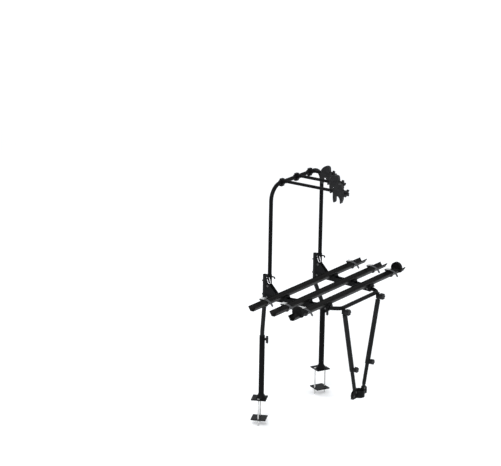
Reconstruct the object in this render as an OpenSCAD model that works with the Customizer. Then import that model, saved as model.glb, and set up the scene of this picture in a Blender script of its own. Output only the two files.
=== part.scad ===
// Bicycle rack that stands across a trailer drawbar: three wheel trays, a tall hoop and three frame claws.
// Millimetres, +Z up. The origin lies midway between the two rear clamps, on the drawbar's top face.
// +X runs along the trays, -Y points to the coupler and Y = 0 is the plane of the hoop.

/* [Hoop] */
// Outer diameter of the hoop tube
tube_d = 28.6; // [22:0.1:40]
// Wall of the hoop tube
tube_wall = 2; // [1:0.1:4]
// Distance between the hoop legs, centre to centre
hoop_w = 644; // [400:1:900]
// Height of the hoop bar's centreline
hoop_top_z = 1562; // [900:1:2000]
// Centreline radius of the hoop's top bends
hoop_bend_r = 110; // [50:1:200]
// Height of the hinge on which the hoop folds
fold_z = 835; // [700:1:1000]
// Length of leg below the fold hinge
leg_drop = 12; // [8:1:20]

/* [Brackets] */
// Thickness of the bracket plates
plate_t = 4; // [2:0.5:8]
// Clear width between the two side plates of a bracket
bracket_gap = 31.6; // [24:0.1:50]
// Height of the bracket's top edge
bracket_top_z = 913; // [800:1:1000]
// How far the bracket's upper part reaches in front of the hoop's plane
bracket_front = 7; // [5:0.5:20]
// Height at which the bracket's front edge starts to slope
bracket_slope_z = 846; // [820:1:870]
// Distance from the hoop's plane to the bracket's foremost edge
bracket_toe = 72; // [60:1:90]
// Height of the bracket's toe
bracket_toe_z = 779; // [772:1:810]
// Height of the lower post bolt above the channel's lower face
post_bolt_up = 27; // [20:1:60]
// Depth of the upper post bolt below the bracket's top edge
post_bolt_down = 52; // [30:1:60]
// Height of the channel bolts above the channel's lower face
toe_bolt_up = 20; // [14:1:24]
// Distance of the front channel bolt in front of the hoop's plane
toe_bolt_y = 50; // [30:1:60]
// Distance of the rear channel bolt behind the hoop's plane
heel_bolt_y = 4; // [-10:1:8]
// Distance from the hoop's plane to the front of the bracket's web
web_y = 20.3; // [16:0.1:40]
// Height of the hitch pin's centreline
pin_z = 890; // [870:1:900]
// Distance of the hitch pin behind the hoop's plane
pin_y = 4; // [0:0.5:8]
// Diameter of the hitch pin
pin_d = 10; // [6:0.5:14]
// Length of the straight part of the hitch pin's handle
pin_handle = 6; // [2:1:40]
// Length of the hooked end of the hitch pin's handle
pin_tip = 4; // [1:1:20]
// Bend radius of the hitch pin's handle
pin_bend_r = 9; // [6:0.5:20]
// Wire diameter of the hairpin clip
clip_d = 4; // [2:0.1:5]
// Length of the hairpin clip's legs
clip_leg = 38; // [20:1:60]
// How far the hairpin clip stands above the hitch pin
clip_up = 10; // [6:0.5:20]
// Half the distance between the hairpin clip's legs
clip_r = 10; // [5:0.5:14]
// Angle by which the hairpin clip hangs to the front
clip_lean = 20; // [0:1:45]

/* [Posts] */
// Outer diameter of the inner posts
post_d = 30.8; // [24:0.1:45]
// Wall of the inner posts
post_wall = 2.4; // [1.5:0.1:5]
// Height of the post's upper end
post_top_z = 909; // [800:1:1000]
// Distance of the post's upper part behind the hoop's plane
post_top_y = 40; // [30:0.5:70]
// Bend radius of the posts
post_bend_r = 55; // [40:1:120]
// Height at which the leaning part starts
lean_low_z = 511; // [480:1:600]
// Height at which the leaning part ends
lean_high_z = 694; // [640:1:720]
// Height of the post's lower end inside the sleeve
post_low_z = 60; // [45:1:300]

/* [Sleeves and rear clamps] */
// Distance between the two sleeves, centre to centre
sleeve_w = 780; // [500:1:1100]
// Distance of the sleeves behind the hoop's plane
sleeve_y = 8; // [-20:1:40]
// Outer diameter of the sleeves
sleeve_d = 40; // [30:0.5:60]
// Height of the sleeve's upper end
sleeve_top_z = 477; // [300:1:600]
// Diameter of the flared foot
foot_d = 71; // [50:1:90]
// Height of the flared foot
foot_h = 34; // [10:1:60]
// Length of a clamp plate along the drawbar rail
clamp_len = 108; // [80:1:180]
// Length of a clamp plate across the drawbar rail
clamp_w = 106; // [90:1:160]
// Thickness of the clamp plates
clamp_t = 8; // [5:0.5:14]
// Distance of a clamp plate's centre behind its sleeve, along the rail
clamp_back = 12; // [0:1:30]
// Angle between a drawbar rail and the rack's fore and aft direction
rail_angle = 25; // [0:0.5:30]
// Height of the drawbar rail that the plates clamp
rail_h = 143; // [60:1:200]
// Distance of the clamp bolts from the rail's centreline
clamp_bolt_x = 43; // [35:0.5:70]
// Diameter of the clamp bolts
clamp_bolt_d = 10; // [8:0.5:16]
// Length of bolt end below the lower plate
clamp_bolt_end = 42; // [15:1:60]
// Height of the T-handle screws
tee_z = 455; // [350:1:470]
// Diameter of the T-handle screw
tee_d = 10; // [6:0.5:14]
// Length of the T-handle's crossbar
tee_bar = 57; // [30:1:90]
// Width of the T-handle's crossbar
tee_bar_w = 15; // [10:0.5:25]
// Depth of the T-handle's crossbar
tee_bar_t = 12; // [8:0.5:22]
// Distance from the boss to the T-handle's crossbar
tee_neck = 8; // [3:0.5:20]
// Diameter of the threaded boss on the sleeve
boss_d = 20; // [14:0.5:30]
// How far the boss stands off the sleeve
boss_h = 8; // [4:0.5:20]

/* [Trays] */
// Length of the wheel trays
tray_len = 1442; // [900:1:1800]
// Width of a tray across its upper edges
tray_w = 60; // [45:0.5:90]
// Width of a tray's flat floor, measured outside
tray_foot_w = 24; // [20:0.5:50]
// Height of the trays' lower faces
tray_low_z = 773; // [770:1:800]
// Height of the trays' upper edges
tray_top_z = 806; // [790:1:830]
// Height of the upright lip along a tray's edges
tray_lip = 6; // [2:0.5:12]
// Sheet thickness of the trays
tray_t = 2.2; // [1.2:0.1:4]
// Distance of the first tray's centreline in front of the hoop
tray_1_y = 127.5; // [100:0.5:200]
// Distance of the second tray's centreline in front of the hoop
tray_2_y = 304.5; // [250:0.5:400]
// Distance of the third tray's centreline in front of the hoop
tray_3_y = 459.5; // [400:0.5:600]
// Distance of the wheel stops from the tray's end
stop_in = 76; // [40:1:120]
// Diameter of a wheel stop's rounded top
stop_d = 84; // [70:1:110]
// Thickness of a wheel stop along the tray
stop_t = 24; // [12:0.5:40]
// Thickness of a wheel stop's rim
stop_rim = 5; // [3:0.5:10]
// Thickness of a wheel stop's back
stop_back = 7; // [3:0.5:11]
// Height of the centre of a wheel stop's rounded top
stop_z = 814; // [808:1:830]
// Height of a wheel stop's lower edge
stop_low_z = 785; // [778:1:798]
// Width across a wheel stop's feet
stop_foot_w = 76; // [64:1:90]

/* [Side channels] */
// Height of the channel's lower face
channel_low_z = 734; // [680:1:760]
// Height of the channel's upper edges
channel_top_z = 768; // [700:1:800]
// Sheet thickness of the channel
channel_t = 3; // [2:0.1:5]
// Width of the channel at its front end
channel_front_w = 43; // [40:0.5:60]
// Distance from the hoop's plane to the channel's front end
channel_front_y = 480; // [460:1:620]
// Sideways distance between the two channels' front ends, centre to centre
channel_front_x = 550; // [300:1:640]
// Length of a saddle across the trays
saddle_len = 56; // [44:1:70]
// Depth of a saddle's skirts beside the channel
saddle_skirt = 8; // [4:0.5:8]
// Width of a saddle's cradle
cradle_w = 48; // [40:1:60]
// Height of a saddle's cradle above the tray's lower face
cradle_h = 13; // [4:0.5:20]

/* [Front bar] */
// Distance of the front bar's centreline from the hoop's plane
bar_y = 551; // [500:1:700]
// Sideways distance between the corners of the front bar
bar_corner_w = 470; // [300:1:600]
// Bend radius of the front bar's corners
bar_bend_r = 45; // [35:1:90]
// Length of the front bar's arms inside the side channels
bar_insert = 48; // [30:1:80]
// Distance from a side channel's front end to the bend of the front bar's arm
bar_mouth = 11; // [10.5:0.5:30]
// Distance of the bolt that holds the front bar behind the channel's front end
bar_bolt_in = 22; // [15:1:30]
// Thickness of the lugs below the front bar
lug_t = 6; // [4:0.5:10]
// Width of the lugs
lug_w = 40; // [30:1:60]

/* [Front legs] */
// Distance between the legs' upper pivots
leg_top_w = 450; // [300:1:560]
// Depth of the legs' upper pivots below the front bar's centreline
leg_top_down = 21.7; // [18:0.1:40]
// Distance between the legs' lower pivots
leg_low_w = 112; // [100:1:200]
// Height of the legs' lower pivots
leg_low_z = 82; // [60:1:200]
// Outer diameter of the legs' outer tubes
leg_outer_d = 35; // [28:0.5:50]
// Outer diameter of the legs' inner tubes
leg_inner_d = 27; // [20:0.5:40]
// Wall of the legs' inner tubes
leg_inner_wall = 2.5; // [1.5:0.1:5]
// Length of the outer tube, from the upper pivot to its lower end
leg_outer_len = 493; // [300:1:560]
// Length of the inner tube, from the lower pivot to its upper end
leg_inner_len = 470; // [300:1:560]
// Thickness of the flat ears at the legs' ends
ear_t = 8; // [5:0.5:12]
// Radius of the flat ears
ear_r = 15; // [11:0.5:22]
// Distance from a pivot to the tube's end
ear_len = 26; // [20:1:50]
// Diameter of the legs' pivot bolts
pivot_d = 10; // [6:0.5:14]
// Clearance round the open upper pivot, so that the legs can follow the rack's height
open_gap = 0.8; // [0.5:0.1:2]
// Diameter of the upper knobs
top_knob_d = 46; // [30:1:60]
// Length of the upper knobs
top_knob_h = 29; // [15:1:45]
// Diameter of the locking knobs
lock_knob_d = 40; // [25:1:55]
// Length of the locking knobs
lock_knob_h = 22; // [12:1:40]
// Distance of the locking knobs above the outer tube's lower end
lock_up = 20; // [12:1:50]
// Lobes on a knob
knob_lobes = 6; // [3:1:9]
// Diameter of the stem of a knob
stem_d = 16; // [10:0.5:24]
// Length of the stem of a knob
stem_h = 9; // [4:0.5:20]

/* [Jack clamp] */
// Diameter of the jack tube that the bands clamp
jack_d = 76; // [50:1:90]
// Thickness of the bands
band_t = 4; // [3:0.5:8]
// Height of the bands' lower edge
band_low_z = 34; // [20:1:60]
// Height of the bands' upper edge
band_top_z = 82; // [60:1:120]
// Height to which the ears rise round the pivots
band_ear_z = 97; // [80:1:130]
// Sideways reach of the ears
band_ear_x = 94; // [88:1:140]
// Sideways reach of the raised part of the ears
band_rise_x = 73; // [66:1:120]
// Distance of the clamping bolts from the rack's middle
band_bolt_x = 83; // [80:1:120]
// Diameter of the clamping bolts
band_bolt_d = 8; // [5:0.5:12]

/* [Arms and claws] */
// Sideways position of the first arm, which serves the tray next to the hoop
arm_1_x = 162; // [80:1:200]
// Sideways position of the second arm
arm_2_x = -8; // [-60:1:60]
// Sideways position of the third arm, which serves the outermost tray
arm_3_x = -192; // [-220:1:-80]
// Distance from the hoop's plane to the first claw's rear face
claw_1_y = 98; // [80:1:150]
// Distance from the hoop's plane to the second claw's rear face
claw_2_y = 284; // [240:1:350]
// Distance from the hoop's plane to the third claw's rear face
claw_3_y = 432; // [380:1:520]
// Diameter of the arm rods
arm_d = 22; // [18:0.5:26]
// Diameter of the arm rods' ends inside the claws
arm_end_d = 16; // [10:0.5:17]
// Wall of the arm rods
arm_wall = 2; // [1:0.1:4]
// Height of the arm rods above the hoop bar's centreline
arm_up = 11; // [0:0.5:12]
// Length of an arm's weld collar
collar_len = 18; // [8:1:40]
// Thickness of an arm's weld collar
collar_t = 2.5; // [1:0.5:6]
// Width of a clamp block along the hoop bar
block_w = 34; // [24:1:36]
// Outer diameter of a clamp block
block_d = 42; // [38:0.5:60]
// Reach of a clamp block's lugs above and below the bar's centreline
block_reach = 27; // [24:0.5:40]
// Depth of a clamp block's lugs
block_lug_t = 20; // [12:0.5:30]
// Distance of the clamp bolts from the lugs' ends
block_bolt_in = 5.5; // [4.5:0.1:7]
// Gap between the two halves of a clamp block
block_gap = 1.6; // [0.5:0.1:4]
// Width of a claw along X
claw_w = 24; // [23:0.5:40]
// Height of the claw's peak above the hoop bar's centreline
claw_up = 72; // [50:1:90]
// Depth of the claw's tips below the hoop bar's centreline
claw_down = 67; // [50:1:90]
// Depth of the arch's top below the hoop bar's centreline
arch_down = 20; // [10:1:30]
// Thickness of the rear prong
prong_t = 21; // [16:0.5:26]
// Clear width between the rear prong and the open jaw's tip
jaw_gap = 40; // [34:0.5:50]
// Thickness of the sliding jaw's tip
jaw_t = 17; // [10:0.5:22]
// Travel of the sliding jaw
jaw_travel = 20; // [10:0.5:22]
// Thickness of the jaw's tongue in its pocket
tongue_t = 20; // [12:0.5:22]
// Half the width of the pocket in which the jaw slides
pocket_hw = 7.5; // [6:0.5:9]
// Thickness of the claw's front wall, through which the screw passes
front_wall = 8; // [4:0.5:12]
// Diameter of the claw's screw
screw_d = 8; // [5:0.5:10]
// Diameter of the claw knob's barrel
barrel_d = 40; // [24:1:50]
// Length of the claw knob's barrel
barrel_len = 20; // [8:1:40]
// Diameter across the claw knob's four wings
wing_d = 62; // [44:1:80]
// Width of a wing
wing_w = 13; // [8:0.5:20]
// Thickness of the wings
wing_t = 15; // [6:0.5:24]
// Diameter of the cap on the claw's knob
cap_d = 15; // [8:0.5:24]
// Angle at which the third claw's knob rests
knob_turn = 45; // [0:1:89]
// Length of the cap on the claw's knob
cap_len = 11; // [4:0.5:24]

/* [Wheel straps] */
// Distance of the straps from the tray's end
strap_in = 163; // [120:1:260]
// Width of a strap
strap_w = 20; // [14:0.5:35]
// Thickness of a strap
strap_t = 3; // [2:0.1:5]
// Inner radius of the strap's arch
strap_r = 73.3; // [60:0.1:100]
// Height of the centre of the strap's arch
strap_z = 742; // [720:1:770]
// Distance of the arch's centre behind the tray's centreline
strap_back = 3; // [0:0.5:10]
// Angle at which the strap ends behind the tray
strap_start = 68; // [60:1:72]
// Angle at which the strap ends in front of the tray
strap_end = 153; // [130:1:165]
// Distance of the ratchet's axle behind the tray's centreline
ratchet_y = 38; // [36:0.5:50]
// Height of the ratchet's axle
ratchet_z = 814; // [812:0.5:820]
// Radius of the lever's hub
hub_r = 5; // [4:0.5:6]
// Diameter of the ratchet's axle
axle_d = 5; // [3:0.5:8]
// Thickness of the ratchet's cheeks
cheek_t = 3; // [2:0.5:5]
// Length of the ratchet lever
lever_len = 32; // [20:1:36]
// Thickness of the ratchet lever
lever_t = 5; // [3:0.5:9]
// Length of the ratchet's cheeks in front of the axle
cheek_len = 20; // [10:0.5:30]
// How far the ratchet's back plate hangs below the tray's upper edge
ratchet_drop = 16; // [8:1:20]
// Width of the anchor below a tray
anchor_w = 24; // [12:1:30]
// Thickness of the anchor below a tray
anchor_t = 5; // [3:0.5:10]

/* [Fasteners] */
// Diameter of the bracket bolts
bolt_d = 8; // [5:0.5:12]
// Diameter of the washers and heads on the bracket bolts
head_d = 15; // [10:0.5:22]
// Height of a bolt head
head_h = 5; // [3:0.5:10]
// Distance between the two bolts that hold a tray on a saddle
tray_bolt_pitch = 24; // [20:0.5:30]
// Diameter of the tray bolts
tray_bolt_d = 6; // [4:0.5:8]
// Diameter of a tray bolt's domed head
tray_head_d = 13; // [9:0.5:16]
// Diameter of a tray bolt's nut across its corners
tray_nut_d = 11; // [9:0.5:14]
// Height of a tray bolt's nut
tray_nut_h = 3; // [2:0.1:4]

/* [Clearances] */
// Radial clearance of a shaft that turns or slides in its hole
fit_gap = 0.05; // [0.01:0.01:0.1]
// Radial clearance of a bolt in its hole, and the gap between parts that only lie together
loose_gap = 0.4; // [0.2:0.05:0.9]
// How far a cut runs past the face it opens
cut_over = 1; // [0.5:0.1:5]
// Length of the low band where a tube's bend starts
seam_len = 2; // [1:0.1:5]
// How much wider than the tube that band is
seam_up = 0.3; // [0.1:0.05:1]

/* [View] */
// Which named piece is drawn

/* [Hidden] */
$fn = 96;
// Shares of a fastener's, a knob's or a claw's own size
head_share = 1.7;
flat_share = 0.67;
clear_share = 0.35;
lobe_share = 0.17;
step_share = 0.1;
leg_x = hoop_w / 2;
sleeve_x = sleeve_w / 2;
arm_z = hoop_top_z + arm_up;
arch_z = hoop_top_z - arch_down;
claw_depth = prong_t + jaw_gap + jaw_t;
jaw_root = prong_t + jaw_travel + front_wall * clear_share;
tray_x = tray_len / 2;
stop_x = tray_x - stop_in;
strap_x = tray_x - strap_in;
bar_z = channel_low_z + channel_t + tube_d / 2 + loose_gap;
leg_top_z = bar_z - leg_top_down;
web_rear = web_y + plate_t;
tray_floor_z = tray_low_z + tray_t;
lip_z = tray_top_z - tray_lip;
step = seam_len * step_share;
curve_steps = 6;
lower_bolt_z = channel_low_z + post_bolt_up;
upper_bolt_z = bracket_top_z - post_bolt_down;
toe_bolt_z = channel_low_z + toe_bolt_up;
bolt_in_y = channel_front_y - bar_bolt_in;
pin_rise = pin_z - fold_z;
pin_drop = pin_rise - sqrt(pow(pin_rise, 2) + pow(pin_y, 2) - pow((tube_d + pin_d) / 2, 2));
leg_y = bar_y + tube_d / 2 + loose_gap / 2 + ear_t / 2;
plate_in = bracket_gap / 2;
plate_out = plate_in + plate_t;
lean_shift = sqrt(pow(sleeve_x - leg_x, 2) + pow(post_top_y - sleeve_y, 2));
lean_rise = lean_high_z - lean_low_z;
lean_angle = atan2(lean_shift, lean_rise);
lean_turn = atan2(post_top_y - sleeve_y, leg_x - sleeve_x);
lean_cut = post_bend_r * tan(lean_angle / 2);
lean_len = sqrt(pow(lean_shift, 2) + pow(lean_rise, 2)) - 2 * lean_cut;
leg_run = (leg_top_w - leg_low_w) / 2;
leg_rise = leg_top_z - leg_low_z;
leg_tilt = atan2(leg_run, leg_rise);
leg_len = sqrt(pow(leg_run, 2) + pow(leg_rise, 2));
channel_run = channel_front_y - bracket_toe;
channel_w = 2 * (plate_out + loose_gap + channel_t);
channel_angle = atan2(leg_x - channel_front_x / 2, channel_run);
wall_slope = (tray_w - tray_foot_w) / 2 / (tray_top_z - tray_lip - tray_low_z);
wall_t = tray_t * sqrt(1 + pow(wall_slope, 2));
// Outline of the claw's head and rear prong, as shares of its depth and of its height or drop
head_shares = [[0, 0.36], [0.16, 0.64], [0.42, 0.9], [0.72, 0.98], [0.94, 0.88], [0.98, 0.5], [1, 0.36]];
prong_shares = [[1, -0.6], [0.98, -0.86], [0.72, -1.02], [0.34, -1.02], [0.1, -0.8], [0, -0.45]];
// Outline of the jaw's finger, as shares of the claw's depth and drop
jaw_shares = [[1.02, -0.51], [0.94, -0.78], [0.87, -1.02], [0.76, -1.02], [0.77, -0.75], [0.7, -0.46]];
rail_back_x = clamp_back * sin(rail_angle);
rail_back_y = clamp_back * cos(rail_angle);

// Ring profile of a tube with the given outer diameter and wall.
module ring(d, wall) {
    difference() {
        circle(d = d);
        circle(d = d - 2 * wall);
    }
}

// Straight tube that starts at the origin and runs up.
module pipe(d, wall, len) {
    linear_extrude(len) ring(d, wall);
}

// Bent tube that starts at the origin, runs up and turns towards +X by the angle.
module elbow(d, wall, r, angle) {
    translate([r, 0, 0]) rotate([90, 0, 0]) rotate([0, 0, 180 - angle])
        rotate_extrude(angle = angle) translate([r, 0]) ring(d, wall);
}

// Solid bend that starts at the origin, runs up and turns towards +X by the angle.
module bend(d, r, angle) {
    translate([r, 0, 0]) rotate([90, 0, 0]) rotate([0, 0, 180 - angle])
        rotate_extrude(angle = angle) translate([r, 0]) circle(d = d);
}

// Low band round a tube where a bend starts or ends.
module seam(d) {
    cylinder(d = d + seam_up, h = seam_len, center = true);
}

// Moves what follows to the end of a straight run.
module past(len) {
    translate([0, 0, len]) children();
}

// Moves what follows to the end of a bend.
module round_bend(r, angle) {
    translate([r - r * cos(angle), 0, r * sin(angle)]) rotate([0, angle, 0]) children();
}

// Shaft along X, centred on the origin.
module shaft_x(d, len) {
    rotate([0, 90, 0]) cylinder(d = d, h = len, center = true);
}

// Shaft along Y that starts at the origin and runs to the front.
module shaft_front(d, len) {
    rotate([90, 0, 0]) cylinder(d = d, h = len);
}

// Draws the children for the right side, or mirrored for the left side.
module side(s) {
    if (s > 0) children();
    if (s < 0) mirror([1, 0, 0]) children();
}

// Bolt along X with a hexagon head and nut.
module bolt_x(d, grip, head, head_len) {
    shaft_x(d, grip + 2 * head_len);
    for (s = [-1, 1]) translate([s * (grip + head_len) / 2, 0, 0])
        rotate([0, 90, 0]) cylinder(d = head, h = head_len, center = true, $fn = 6);
}

// Bolt along Y that starts at the origin: its head lies behind it, its nut at the end of the grip.
module bolt_front(d, grip) {
    translate([0, head_h + step, 0]) shaft_front(d, grip + 2 * head_h + 2 * step);
    for (y = [head_h, -grip]) translate([0, y, 0]) rotate([90, 0, 0])
        cylinder(d = d * head_share, h = head_h, $fn = 6);
}

// Points of a smooth line drawn towards each of the given points; a point given twice stays a corner.
function smooth(p) = [for (i = [0 : len(p) - 1])
    let (a = p[(i + len(p) - 1) % len(p)], b = p[i], c = p[(i + 1) % len(p)])
    if (a != b) each b == c ? [(a + b) / 2, b]
        : [for (k = [0 : curve_steps - 1]) curve_at((a + b) / 2, b, (b + c) / 2, k / curve_steps)]];

// Point at a share of the way along the curve from one point to another, drawn towards a third.
function curve_at(from, by, to, t) = from * pow(1 - t, 2) + by * 2 * t * (1 - t) + to * t * t;

// Rear sleeve, welded to its flared foot, its upper clamp plate and the boss of its T-handle screw.
module sleeve_one() {
    difference() {
        union() {
            translate([sleeve_x, sleeve_y, clamp_t]) cylinder(d = sleeve_d, h = sleeve_top_z - clamp_t);
            translate([sleeve_x, sleeve_y, clamp_t]) cylinder(d1 = foot_d, d2 = sleeve_d, h = foot_h);
            clamp_plate(0);
            translate([sleeve_x, sleeve_y, tee_z]) shaft_front(boss_d, sleeve_d / 2 + boss_h);
        }
        translate([sleeve_x, sleeve_y, clamp_t]) cylinder(d = post_d + 2 * fit_gap, h = sleeve_top_z);
        translate([sleeve_x, sleeve_y, tee_z]) shaft_front(tee_d + 2 * fit_gap, sleeve_d + boss_h);
    }
}

// One clamp plate on the right side, its lower face at the given height.
module clamp_plate(z) {
    translate([sleeve_x + rail_back_x, sleeve_y + rail_back_y, z]) rotate([0, 0, -rail_angle])
        difference() {
            translate([-clamp_w / 2, -clamp_len / 2, 0]) cube([clamp_w, clamp_len, clamp_t]);
            for (s = [-1, 1]) translate([s * clamp_bolt_x, 0, -cut_over])
                cylinder(d = clamp_bolt_d + 2 * loose_gap, h = clamp_t + 2 * cut_over);
        }
}

// The two long bolts of the right clamp.
module clamp_bolts_one() {
    low = -rail_h - clamp_t;
    translate([sleeve_x + rail_back_x, sleeve_y + rail_back_y, 0]) rotate([0, 0, -rail_angle])
        for (s = [-1, 1]) translate([s * clamp_bolt_x, 0, 0]) {
            translate([0, 0, low - clamp_bolt_end])
                cylinder(d = clamp_bolt_d, h = clamp_bolt_end + clamp_t - low + head_h);
            translate([0, 0, clamp_t]) cylinder(d = clamp_bolt_d * head_share, h = head_h, $fn = 6);
            translate([0, 0, low - 2 * head_h])
                cylinder(d = clamp_bolt_d * head_share, h = 2 * head_h, $fn = 6);
        }
}

// T-handle screw that locks the right post in its sleeve.
module tee_one() {
    start = post_d / 2 + fit_gap + loose_gap;
    reach = sleeve_d / 2 + boss_h + loose_gap;
    bar = reach + tee_neck;
    translate([sleeve_x, sleeve_y, tee_z]) {
        translate([0, -start, 0]) shaft_front(tee_d, bar - start + tee_bar_t / 2);
        translate([0, -reach, 0]) shaft_front(tee_bar_w, tee_neck + tee_bar_t / 2);
        translate([-tee_bar_w / 2, -bar - tee_bar_t, -tee_bar / 2 + tee_bar_w / 2])
            cube([tee_bar_w, tee_bar_t, tee_bar - tee_bar_w]);
        for (s = [-1, 1]) translate([0, -bar, s * (tee_bar - tee_bar_w) / 2])
            shaft_front(tee_bar_w, tee_bar_t);
    }
}

// Inner post of the right side: it slides in the sleeve, leans in and back, then stands in the bracket.
module post_one() {
    difference() {
        translate([sleeve_x, sleeve_y, post_low_z]) rotate([0, 0, lean_turn]) post_run(post_d, 0);
        translate([sleeve_x, sleeve_y, post_low_z]) rotate([0, 0, lean_turn])
            post_run(post_d - 2 * post_wall, cut_over);
        for (z = [lower_bolt_z, upper_bolt_z]) translate([leg_x, post_top_y + post_d, z])
            shaft_front(bolt_d + 2 * loose_gap, 2 * post_d);
    }
}

// The run of the post's tube from its lower end up, lengthened at both ends by the given amount.
module post_run(d, over) {
    low = lean_low_z - post_low_z - lean_cut;
    high = post_top_z - lean_high_z - lean_cut;
    past(-over) cylinder(d = d, h = low + over - step);
    past(low) {
        seam(d);
        bend(d, post_bend_r, lean_angle);
        round_bend(post_bend_r, lean_angle) {
            seam(d);
            past(step) cylinder(d = d, h = lean_len - 2 * step);
            past(lean_len) rotate([0, 0, 180]) {
                seam(d);
                bend(d, post_bend_r, lean_angle);
                round_bend(post_bend_r, lean_angle) {
                    seam(d);
                    past(step) cylinder(d = d, h = high + over - step);
                }
            }
        }
    }
}

// Side outline of a bracket plate, as distance behind the hoop's plane and height.
module bracket_outline() {
    polygon([[web_rear, channel_low_z + channel_t], [web_rear, bracket_top_z],
        [-bracket_front, bracket_top_z], [-bracket_front, bracket_slope_z],
        [-bracket_toe, bracket_toe_z], [-bracket_toe, channel_low_z + channel_t]]);
}

// Bracket of the right side: two side plates joined by a web in front of the post.
module bracket_one() {
    floor_z = channel_low_z + channel_t;
    translate([leg_x, 0, 0]) difference() {
        union() {
            for (s = [-1, 1]) translate([s * (plate_in + plate_t / 2) - plate_t / 2, 0, 0])
                rotate([90, 0, 90]) linear_extrude(plate_t) bracket_outline();
            translate([-plate_out, web_y, floor_z])
                cube([2 * plate_out, plate_t, bracket_top_z - floor_z]);
        }
        for (z = [lower_bolt_z, upper_bolt_z]) translate([0, web_rear + plate_t, z])
            shaft_front(bolt_d + 2 * loose_gap, 3 * plate_t);
        for (y = [heel_bolt_y, -toe_bolt_y]) translate([0, y, toe_bolt_z])
            shaft_x(bolt_d + 2 * loose_gap, 3 * plate_out);
        translate([0, 0, fold_z]) shaft_x(pivot_d + 2 * loose_gap, 3 * plate_out);
        translate([0, pin_y, pin_z]) shaft_x(pin_d + 2 * fit_gap, 3 * plate_out);
    }
}

// Bolts of the right side: two through the post, two through the channel, the hinge and the front bar's bolt.
module bracket_bolts_one() {
    back = post_top_y + post_d / 2 + loose_gap;
    translate([leg_x, 0, 0]) {
        for (z = [lower_bolt_z, upper_bolt_z]) translate([0, back, z])
            bolt_front(bolt_d, back - web_y + loose_gap);
        for (y = [heel_bolt_y, -toe_bolt_y]) translate([0, y, toe_bolt_z])
            bolt_x(bolt_d, channel_w + 2 * loose_gap, head_d, head_h);
        translate([0, 0, fold_z])
            bolt_x(pivot_d, 2 * plate_out + 2 * loose_gap, head_d * pivot_d / bolt_d, head_h);
    }
    in_channel() bolt_x(bolt_d, channel_width(bolt_in_y) + 2 * loose_gap, head_d, head_h);
}

// Moves what follows to the bolt that holds the front bar, square to the right channel.
module in_channel() {
    translate([channel_x(bolt_in_y), -bolt_in_y, bar_z]) rotate([0, 0, -channel_angle]) children();
}

// Width of the side channel at a distance in front of the hoop's plane.
function channel_width(y) = y < bracket_toe ? channel_w
    : channel_w + (channel_front_w - channel_w) * (y - bracket_toe) / channel_run;

// Sideways position of the side channel's centreline at a distance in front of the hoop's plane.
function channel_x(y) = y < bracket_toe ? leg_x : leg_x - (y - bracket_toe) * tan(channel_angle);

// Plan of the right channel between two distances in front of the hoop, widened on each side.
module channel_plan(ys, wide) {
    polygon(concat([for (y = ys) [channel_x(y) - channel_width(y) / 2 - wide, -y]],
        [for (i = [len(ys) - 1 : -1 : 0]) [channel_x(ys[i]) + channel_width(ys[i]) / 2 + wide, -ys[i]]]));
}

// Side channel of the right side.
module channel_one() {
    rear = loose_gap - web_rear;
    difference() {
        translate([0, 0, channel_low_z]) linear_extrude(channel_top_z - channel_low_z)
            channel_plan([rear, bracket_toe, channel_front_y], 0);
        translate([0, 0, channel_low_z + channel_t]) linear_extrude(channel_top_z)
            channel_plan([rear - cut_over, bracket_toe, channel_front_y + cut_over], -channel_t);
        for (y = [heel_bolt_y, -toe_bolt_y]) translate([leg_x, y, toe_bolt_z])
            shaft_x(bolt_d + 2 * loose_gap, 2 * channel_w);
        in_channel() shaft_x(bolt_d + 2 * loose_gap, 2 * channel_w);
    }
}

// Saddle on the right channel: skirts beside the channel and a cradle round the tray's foot.
module saddle(y) {
    ys = [y - saddle_len / 2, y + saddle_len / 2];
    plate_z = channel_top_z + loose_gap / 2;
    difference() {
        union() {
            translate([0, 0, channel_top_z - saddle_skirt])
                linear_extrude(tray_low_z - loose_gap / 2 - channel_top_z + saddle_skirt)
                channel_plan(ys, loose_gap + channel_t);
            translate([0, 0, plate_z]) linear_extrude(tray_low_z + cradle_h - plate_z)
                channel_plan([y - cradle_w / 2, y + cradle_w / 2], loose_gap + channel_t);
        }
        translate([0, 0, channel_top_z - saddle_skirt - cut_over])
            linear_extrude(saddle_skirt + cut_over + loose_gap / 2)
            channel_plan([ys[0] - cut_over, ys[1] + cut_over], loose_gap);
        translate([channel_x(y) - channel_w, -y, 0]) rotate([90, 0, 90]) linear_extrude(2 * channel_w)
            tray_outline(loose_gap);
        for (s = [-1, 1]) translate([channel_x(y) + s * tray_bolt_pitch / 2, -y, channel_top_z - cut_over])
            cylinder(d = tray_bolt_d + 2 * loose_gap, h = tray_low_z - channel_top_z + 2 * cut_over);
    }
}

// Outer outline of a tray, widened by the given amount.
module tray_outline(wide) {
    top = tray_w / 2 + wide;
    foot = tray_foot_w / 2 + wide;
    polygon([[-top, tray_top_z + wide], [-top, lip_z], [-foot, tray_low_z - wide / 2],
        [foot, tray_low_z - wide / 2], [top, lip_z], [top, tray_top_z + wide]]);
}

// Cross section of a wheel tray.
module tray_section() {
    top = tray_w / 2;
    foot = tray_foot_w / 2;
    floor_in = foot + wall_slope * tray_t - wall_t;
    lip_in = top - tray_t;
    lip_in_z = tray_floor_z + (lip_in - floor_in) / wall_slope;
    polygon([[-top, tray_top_z], [-lip_in, tray_top_z], [-lip_in, lip_in_z], [-floor_in, tray_floor_z],
        [floor_in, tray_floor_z], [lip_in, lip_in_z], [lip_in, tray_top_z], [top, tray_top_z],
        [top, lip_z], [foot, tray_low_z], [-foot, tray_low_z], [-top, lip_z]]);
}

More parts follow.
